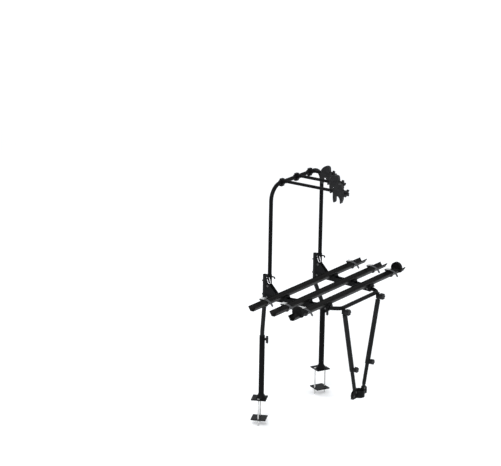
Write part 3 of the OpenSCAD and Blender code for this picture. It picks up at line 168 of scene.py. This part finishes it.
def moulding_group():
    """Moulded plastic: spark eroded grain, flow marks and handling polish."""
    g, given, out = new_group(
        "moulding", {"Dark": (0.012,) * 3, "Light": (0.022,) * 3},
        {"Smooth": 0.42, "Dull": 0.58, "Grain": 0.35})
    at = object_points(g)
    cells = g.nodes.new("ShaderNodeTexVoronoi")
    cells.inputs["Scale"].default_value = 900
    g.links.new(at, cells.inputs["Vector"])
    flow = noise(g, object_points(g, (1, 1, 3)), scale=22, detail=5)
    base = blend_colours(g, spread(g, flow, low=0.32, high=0.7), given["Dark"], given["Light"])
    g.links.new(base, out["Colour"])
    sheen = spread(g, flow, low=0.3, high=0.72, to_low=given["Smooth"], to_high=given["Dull"])
    g.links.new(sheen, out["Roughness"])
    fine = calculate(g, "MULTIPLY", noise(g, at, scale=300, detail=3), 0.6)
    height = calculate(g, "ADD", cells.outputs["Distance"], fine)
    g.links.new(relief(g, height, strength=given["Grain"], distance=0.00035), out["Normal"])
    return g


def plating_group():
    """Plated or drawn metal: fine streaks along Z, a cloudy tone and small tarnish spots."""
    g, given, out = new_group(
        "plating", {"Dark": (0.5,) * 3, "Light": (0.7,) * 3, "Tarnish": (0.33,) * 3},
        {"Smooth": 0.25, "Dull": 0.45})
    at = object_points(g)
    streak = noise(g, object_points(g, (1, 1, 0.06)), scale=900, detail=3)
    cloud = noise(g, at, scale=35, detail=5)
    base = blend_colours(g, spread(g, cloud, low=0.3, high=0.7), given["Dark"], given["Light"])
    tarnish = noise(g, at, scale=130, detail=6, rough=0.7)
    spots = spread(g, tarnish, low=0.62, high=0.72, to_high=0.6)
    g.links.new(blend_colours(g, spots, base, given["Tarnish"]), out["Colour"])
    sheen = spread(g, streak, low=0.3, high=0.7, to_low=given["Smooth"], to_high=given["Dull"])
    g.links.new(sheen, out["Roughness"])
    g.links.new(relief(g, streak, strength=0.12, distance=0.0002), out["Normal"])
    return g


POWDER_COAT, MOULDING, PLATING = powder_coat_group(), moulding_group(), plating_group()


# Materials

def material(name, group, specular, metallic=0.0, **given):
    """Principled material whose colour, roughness and normal come from a surface group."""
    m = bpy.data.materials.new(name)
    m.use_nodes = True
    tree = m.node_tree
    shader = tree.nodes["Principled BSDF"]
    shader.inputs["Specular IOR Level"].default_value = specular
    shader.inputs["Metallic"].default_value = metallic
    surface = tree.nodes.new("ShaderNodeGroup")
    surface.node_tree = group
    for socket, v in given.items():
        surface.inputs[socket].default_value = (*v, 1) if isinstance(v, tuple) else v
    tree.links.new(surface.outputs["Colour"], shader.inputs["Base Color"])
    tree.links.new(surface.outputs["Roughness"], shader.inputs["Roughness"])
    tree.links.new(surface.outputs["Normal"], shader.inputs["Normal"])
    return m


tube_coat = material(
    "tube_coat", POWDER_COAT, specular=0.04,
    Dark=(0.003, 0.003, 0.0032), Light=(0.006, 0.006, 0.0064), Dust=(0.02, 0.02, 0.021))
leg_coat = material(
    "leg_coat", POWDER_COAT, specular=0.07,
    Dark=(0.008, 0.0083, 0.0088), Light=(0.013, 0.0135, 0.014), Dust=(0.03, 0.031, 0.032))
plate_coat = material(
    "plate_coat", POWDER_COAT, specular=0.05,
    Dark=(0.004, 0.0042, 0.0045), Light=(0.008, 0.0083, 0.0088), Dust=(0.025, 0.025, 0.025))
tray_coat = material(
    "tray_coat", POWDER_COAT, specular=0.035, Smooth=0.3, Dull=0.46, Peel=0.18,
    Dark=(0.003, 0.0031, 0.0030), Light=(0.007, 0.0069, 0.0064), Dust=(0.03, 0.029, 0.027))
claw_plastic = material(
    "claw_plastic", MOULDING, specular=0.14,
    Dark=(0.006, 0.006, 0.0065), Light=(0.012, 0.012, 0.013))
buckle_plastic = material(
    "buckle_plastic", MOULDING, specular=0.3, Smooth=0.24, Dull=0.4, Grain=0.18,
    Dark=(0.010, 0.010, 0.011), Light=(0.018, 0.018, 0.020))
strap_plastic = material(
    "strap_plastic", MOULDING, specular=0.3, Smooth=0.25, Dull=0.4, Grain=0.15,
    Dark=(0.03, 0.031, 0.033), Light=(0.05, 0.052, 0.056))
stop_rubber = material(
    "stop_rubber", MOULDING, specular=0.05, Smooth=0.6, Dull=0.78, Grain=0.5,
    Dark=(0.004, 0.004, 0.004), Light=(0.008, 0.008, 0.008))
zinc = material(
    "zinc", PLATING, specular=0.5, metallic=1.0,
    Dark=(0.5, 0.5, 0.49), Light=(0.72, 0.72, 0.71), Tarnish=(0.34, 0.33, 0.31))
black_zinc = material(
    "black_zinc", PLATING, specular=0.5, metallic=1.0, Smooth=0.3, Dull=0.5,
    Dark=(0.05, 0.05, 0.05), Light=(0.10, 0.10, 0.10), Tarnish=(0.2, 0.2, 0.19))
spring_wire = material(
    "spring_wire", PLATING, specular=0.5, metallic=1.0, Smooth=0.08, Dull=0.18,
    Dark=(0.78, 0.78, 0.8), Light=(0.92, 0.92, 0.93), Tarnish=(0.6, 0.6, 0.6))


def threaded_zinc():
    """Zinc plated thread: a fine ridge once every millimetre and a half along Z."""
    m = material("threaded_zinc", PLATING, specular=0.5, metallic=1.0,
                 Smooth=0.28, Dull=0.48,
                 Dark=(0.45, 0.45, 0.44), Light=(0.66, 0.66, 0.65), Tarnish=(0.3, 0.29, 0.27))
    tree = m.node_tree
    ridges = tree.nodes.new("ShaderNodeTexWave")
    ridges.bands_direction = "Z"
    ridges.inputs["Scale"].default_value = 209
    tree.links.new(object_points(tree), ridges.inputs["Vector"])
    tree.links.new(relief(tree, ridges.outputs["Fac"], strength=0.6, distance=0.0006),
                   tree.nodes["Principled BSDF"].inputs["Normal"])
    return m


# A node takes the entry whose key is the longest start of its name. EDGE gives the width of
# the rounded edges in metres, and 0 leaves them sharp

FINISH = {
    "sleeve": tube_coat, "lower_plates": plate_coat, "drawbar_bolts": threaded_zinc(),
    "jack_bands": plate_coat, "jack_bolts": black_zinc, "tee_screw": claw_plastic,
    "post": leg_coat, "bracket": plate_coat, "bracket_bolts": black_zinc,
    "side_channel": plate_coat, "saddles": plate_coat, "tray": tray_coat,
    "tray_bolts": black_zinc, "front_bar": tube_coat, "wheel_stops": stop_rubber,
    "straps": strap_plastic, "strap_anchors": buckle_plastic, "ratchet_bodies": buckle_plastic,
    "lever": zinc, "hitch_pin": tube_coat, "hairpin": spring_wire,
    "hoop": tube_coat, "arm": tube_coat, "arm_cap": claw_plastic,
    "claw": claw_plastic, "jaw": claw_plastic,
    "leg_outer": leg_coat, "leg_inner": leg_coat,
    "leg_top_knob": claw_plastic, "leg_lock_knob": claw_plastic,
}
EDGE = {
    "claw": 0.0022, "jaw": 0.002, "arm_cap": 0.0015, "lever": 0.001, "ratchet_bodies": 0.0008,
    "wheel_stops": 0.0018, "hairpin": 0, "hitch_pin": 0, "tray": 0.0004, "tee_screw": 0.0015,
    "leg_top_knob": 0.002, "leg_lock_knob": 0.002,
}
PLAIN_EDGE = 0.0007


def entry(table, name, otherwise=None):
    keys = [k for k in table if name.startswith(k)]
    return table[max(keys, key=len)] if keys else otherwise


def round_edges(ob, width, angle=38):
    b = ob.modifiers.new("edges", "BEVEL")
    b.width = width
    b.segments = 2
    b.limit_method = "ANGLE"
    b.angle_limit = math.radians(angle)


for name, ob in nodes.items():
    ob.data.materials.clear()
    ob.data.materials.append(entry(FINISH, name))
    for face in ob.data.polygons:
        face.material_index = 0
    width = entry(EDGE, name, PLAIN_EDGE)
    if width:
        round_edges(ob, width)


# Pieces modelled here

def apply_place(ob):
    """Moves the piece's place, turn and scale into its mesh, and returns the piece."""
    bpy.ops.object.transform_apply(location=True, rotation=True, scale=True)
    return ob


def finish_piece(ob, name, finish, body):
    """Names the piece, gives it its finish and lets it ride on a body."""
    bpy.ops.object.mode_set(mode="OBJECT")
    apply_place(ob)
    ob.name = name
    ob.data.name = name
    ob.data.materials.append(finish)
    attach(ob, body)
    ob.select_set(False)


def pick_faces(ob, test):
    """Selects only the faces that pass the test, and leaves the piece in edit mode."""
    bpy.ops.object.mode_set(mode="EDIT")
    bpy.ops.mesh.select_mode(type="FACE")
    bpy.ops.mesh.select_all(action="DESELECT")
    bpy.ops.object.mode_set(mode="OBJECT")
    for face in ob.data.polygons:
        face.select = test(face)
    bpy.ops.object.mode_set(mode="EDIT")


# The strap's band is spun in steps, and its rungs and tail are placed by shares of its arch

STRAP_THICK, STRAP_EDGE = 0.0018, 0.0003
STRAP_STEPS, RUNG_STEPS, RUNG_WIDE = 126, 6, 3
RUNG_FROM, RUNG_TO = 0.06, 0.92
RUNG_SLOPE, RUNG_HEIGHT = 0.0006, 0.0010
TAIL_FROM, TAIL_NARROWS = 0.93, 0.45


def first_ladder_strap():
    """Ladder strap at the right of tray 1: a spun band with raised rungs and a tapered tail."""
    y0, z0 = TRAY_Y[1] + STRAP_CENTRE[0], STRAP_CENTRE[1]
    bpy.ops.mesh.primitive_plane_add(
        size=1, rotation=(STRAP_START, 0, 0),
        location=(STRAP_X, y0 + STRAP_RADIUS * math.cos(STRAP_START),
                  z0 + STRAP_RADIUS * math.sin(STRAP_START)))
    ob = bpy.context.object
    ob.scale = (STRAP_WIDTH, STRAP_THICK, 1)
    apply_place(ob)
    bpy.ops.object.mode_set(mode="EDIT")
    bpy.ops.mesh.select_all(action="SELECT")
    bpy.ops.mesh.spin(steps=STRAP_STEPS, angle=STRAP_END - STRAP_START,
                      center=(STRAP_X, y0, z0), axis=(-1, 0, 0))
    bpy.ops.mesh.select_all(action="SELECT")
    bpy.ops.mesh.remove_doubles(threshold=0.00001)
    bpy.ops.mesh.normals_make_consistent(inside=False)

    def share(p):
        """How far round the arch a point lies, from 0 at the buckle to 1 at the tail."""
        return (math.atan2(p[2] - z0, p[1] - y0) - STRAP_START) / (STRAP_END - STRAP_START)

    def is_rung(face):
        a = share(face.center)
        outward = Vector((0, face.center[1] - y0, face.center[2] - z0)).normalized()
        return (face.normal.dot(outward) > 0.9 and RUNG_FROM < a < RUNG_TO
                and int(a * STRAP_STEPS) % RUNG_STEPS < RUNG_WIDE)

    pick_faces(ob, is_rung)
    bpy.ops.mesh.inset(thickness=RUNG_SLOPE, use_individual=False)
    bpy.ops.transform.shrink_fatten(value=-RUNG_HEIGHT)
    bpy.ops.object.mode_set(mode="OBJECT")
    for v in ob.data.vertices:
        tail = max(0.0, (share(v.co) - TAIL_FROM) / (1 - TAIL_FROM))
        v.co.x = STRAP_X + (v.co.x - STRAP_X) * (1 - TAIL_NARROWS * tail ** 2)
    round_edges(ob, STRAP_EDGE, angle=50)
    bpy.ops.object.modifier_apply(modifier="edges")
    return ob


def ladder_straps():
    """The six straps: the first is copied to the other trays and to the left side."""
    first = first_ladder_strap()
    made = []
    for i, y in TRAY_Y.items():
        for side, tag in ((1, "right"), (-1, "left")):
            ob = first
            if made:
                ob = first.copy()
                ob.data = first.data.copy()
                scene.collection.objects.link(ob)
                ob.data.transform(Matrix.Translation(((side - 1) * STRAP_X, y - TRAY_Y[1], 0)))
            made.append((ob, f"ladder_strap_{i}_{tag}"))
    for ob, name in made:
        bpy.context.view_layer.objects.active = ob
        ob.select_set(True)
        finish_piece(ob, name, strap_plastic, "carrier")
    return [ob for ob, name in made]


straps = ladder_straps()
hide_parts("straps")


# Weld beads: the radii of rings and beads, and the length and swelling of ribs and seam steps

FOOT_SEAT_Z, FOOT_R, FOOT_BEAD = 0.0085, 0.0357, 0.0021
BOSS_R, COLLAR_R, RING_BEAD = 0.0104, 0.0138, 0.0014
LUG_BEAD = 0.0013
RIB_LENGTH, RIB_SWELL = 1.6, 0.22
SEAM_STEP, SEAM_WIDE, SEAM_NARROW = 1.4, 1.25, 0.8


def on_sleeve(across, up):
    """How far the sleeve's round front lies behind its foremost line."""
    return SLEEVE_R - math.sqrt(SLEEVE_R ** 2 - min(abs(across), SLEEVE_R) ** 2)


def on_block(across, up):
    """Front face of a clamp block at a height over its arm: round, with flat lugs."""
    over_hoop = up + ARM_Z - HOOP_TOP_Z
    return -max(BLOCK_LUG, math.sqrt(max(BLOCK_R ** 2 - over_hoop ** 2, 0)))


def weld_ring(name, place, radius, bead, body, turn=(0, 0, 0), face_y=None):
    """Weld bead round a tube: every third rib of the ring swells. It is laid on a rounded face,
    where the face's depth along Y is given."""
    ribs = max(24, 3 * round(radius * 2 * math.pi / (bead * RIB_LENGTH)))
    bpy.ops.mesh.primitive_torus_add(major_radius=radius, minor_radius=bead, major_segments=ribs,
                                     minor_segments=8, location=place, rotation=turn)
    ob = apply_place(bpy.context.object)
    middle = Vector(place)
    axis = Matrix.Rotation(turn[0], 3, "X") @ Vector((0, 0, 1))
    flat = axis.orthogonal().normalized()
    third = axis.cross(flat)

    def swells(face):
        p = Vector(face.center) - middle
        return round(math.atan2(p.dot(third), p.dot(flat)) / (2 * math.pi) * ribs) % 3 == 0

    pick_faces(ob, swells)
    bpy.ops.transform.shrink_fatten(value=-bead * RIB_SWELL)
    bpy.ops.object.mode_set(mode="OBJECT")
    if face_y:
        for v in ob.data.vertices:
            v.co.y += face_y(v.co.x - middle.x, v.co.z - middle.z)
    bpy.ops.object.shade_smooth()
    finish_piece(ob, name, tube_coat, body)


def weld_seam(name, start, length, bead, body):
    """Straight weld bead along X, drawn out step by step and swelling at every other one."""
    bpy.ops.mesh.primitive_circle_add(vertices=8, radius=bead, fill_type="NGON", location=start,
                                      rotation=(0, QUARTER, 0))
    ob = apply_place(bpy.context.object)
    bpy.ops.object.mode_set(mode="EDIT")
    bpy.ops.mesh.select_all(action="SELECT")
    steps = 2 * round(length / bead / SEAM_STEP)
    for k in range(steps):
        grow = SEAM_WIDE if k % 2 == 0 else SEAM_NARROW
        bpy.ops.mesh.extrude_region_move(TRANSFORM_OT_translate={"value": (length / steps, 0, 0)})
        centre = (start[0] + (k + 1) * length / steps, start[1], start[2])
        bpy.ops.transform.resize(value=(1, grow, grow), center_override=centre)
    bpy.ops.mesh.select_all(action="SELECT")
    bpy.ops.mesh.normals_make_consistent(inside=False)
    bpy.ops.object.mode_set(mode="OBJECT")
    bpy.ops.object.shade_smooth()
    finish_piece(ob, name, tube_coat, body)


for side, tag in ((-1, "left"), (1, "right")):
    x = side * SLEEVE_X
    weld_ring(f"weld_foot_{tag}", (x, SLEEVE_Y, FOOT_SEAT_Z), FOOT_R, FOOT_BEAD, "drawbar_mount")
    weld_ring(f"weld_boss_{tag}", (x, SLEEVE_Y - SLEEVE_R, TEE_Z), BOSS_R, RING_BEAD,
              "drawbar_mount", (QUARTER, 0, 0), on_sleeve)
    weld_seam(f"weld_lug_{tag}", (side * LUG_X - LUG_WIDTH / 2, LUG_Y, LUG_Z), LUG_WIDTH,
              LUG_BEAD, "carrier")
for i, x in ARM_X.items():
    weld_ring(f"weld_collar_{i}", (x, 0, ARM_Z), COLLAR_R, RING_BEAD, f"arm_{i}",
              (QUARTER, 0, 0), on_block)


# Floor, light and camera. Where the floor and the sky are seen, straight or in a reflection,
# they are lifted to white, the floor more the farther it lies from the lamps. The diffuse
# light that they cast on the rack is not raised

FLOOR_SIZE, FLOOR_GAP, FLOOR_ROUGH = 180, 0.0005, 0.9
FLOOR_COLOUR, SKY_COLOUR = (0.86, 0.87, 0.88, 1), (0.95, 0.97, 1.0, 1)
NEAR_FLOOR, FAR_FLOOR = 2.5, 14
NEAR_LIFT, FAR_LIFT = 0.22, 0.6
SKY_LIGHT, SKY_SEEN = 0.62, 1.0
LAMP_AIM = Vector((0, -0.2, 0.8))
LAMPS = (
    ("key_lamp", (-5.0, -1.5, 5.0), 3.5, 330),
    ("fill_lamp", (4.0, -5.0, 3.0), 4.0, 110),
    ("back_lamp", (1.0, 5.0, 4.0), 4.0, 110),
)
CAMERA_PLACE = (-12.950484, -8.58021, 5.777791)
CAMERA_RIGHT = (0.5733489, -0.8191605, 0.0157192)
CAMERA_UP = (0.225857, 0.1764667, 0.9580439)
CAMERA_BACK = (-0.7875657, -0.5457431, 0.2861901)
CAMERA_SENSOR, CAMERA_LENS, CAMERA_REACH = 36, 163.2575, 300


def is_seen(tree):
    """1 for rays of the camera, of mirroring and of glass, and 0 for rays that only carry light."""
    path = tree.nodes.new("ShaderNodeLightPath").outputs
    seen = calculate(tree, "MAXIMUM", path["Is Camera Ray"], path["Is Glossy Ray"])
    return calculate(tree, "MAXIMUM", seen, path["Is Transmission Ray"])


bpy.ops.mesh.primitive_plane_add(size=FLOOR_SIZE, location=(0, 0, cad_box[0][2] - FLOOR_GAP))
floor = bpy.context.object
floor.name = "floor"
paint = bpy.data.materials.new("floor_paint")
paint.use_nodes = True
paint_tree = paint.node_tree
coat = paint_tree.nodes["Principled BSDF"].inputs
coat["Base Color"].default_value = FLOOR_COLOUR
coat["Roughness"].default_value = FLOOR_ROUGH
coat["Emission Color"].default_value = (1, 1, 1, 1)
away = paint_tree.nodes.new("ShaderNodeVectorMath")
away.operation = "LENGTH"
paint_tree.links.new(object_points(paint_tree), away.inputs[0])
lift = spread(paint_tree, away.outputs["Value"], NEAR_FLOOR, FAR_FLOOR, NEAR_LIFT, FAR_LIFT)
paint_tree.links.new(calculate(paint_tree, "MULTIPLY", is_seen(paint_tree), lift),
                     coat["Emission Strength"])
floor.data.materials.append(paint)
floor.select_set(False)

for name, place, size, power in LAMPS:
    bpy.ops.object.light_add(type="AREA", location=place)
    lamp = bpy.context.object
    lamp.name = name
    lamp.data.shape = "DISK"
    lamp.data.size = size
    lamp.data.energy = power
    lamp.rotation_euler = (LAMP_AIM - Vector(place)).to_track_quat("-Z", "Y").to_euler()

world = bpy.data.worlds.new("studio")
scene.world = world
world.use_nodes = True
sky = world.node_tree.nodes["Background"].inputs
sky["Color"].default_value = SKY_COLOUR
world.node_tree.links.new(
    spread(world.node_tree, is_seen(world.node_tree), 0, 1, SKY_LIGHT, SKY_SEEN), sky["Strength"])

bpy.ops.object.camera_add()
camera = bpy.context.object
camera.data.sensor_width = CAMERA_SENSOR
camera.data.lens = CAMERA_LENS
camera.data.clip_end = CAMERA_REACH
axes = Matrix([CAMERA_RIGHT, CAMERA_UP, CAMERA_BACK]).transposed().to_4x4()
camera.matrix_world = Matrix.Translation(CAMERA_PLACE) @ axes
scene.camera = camera
scene.view_settings.view_transform = "Standard"
scene.view_settings.look = "None"
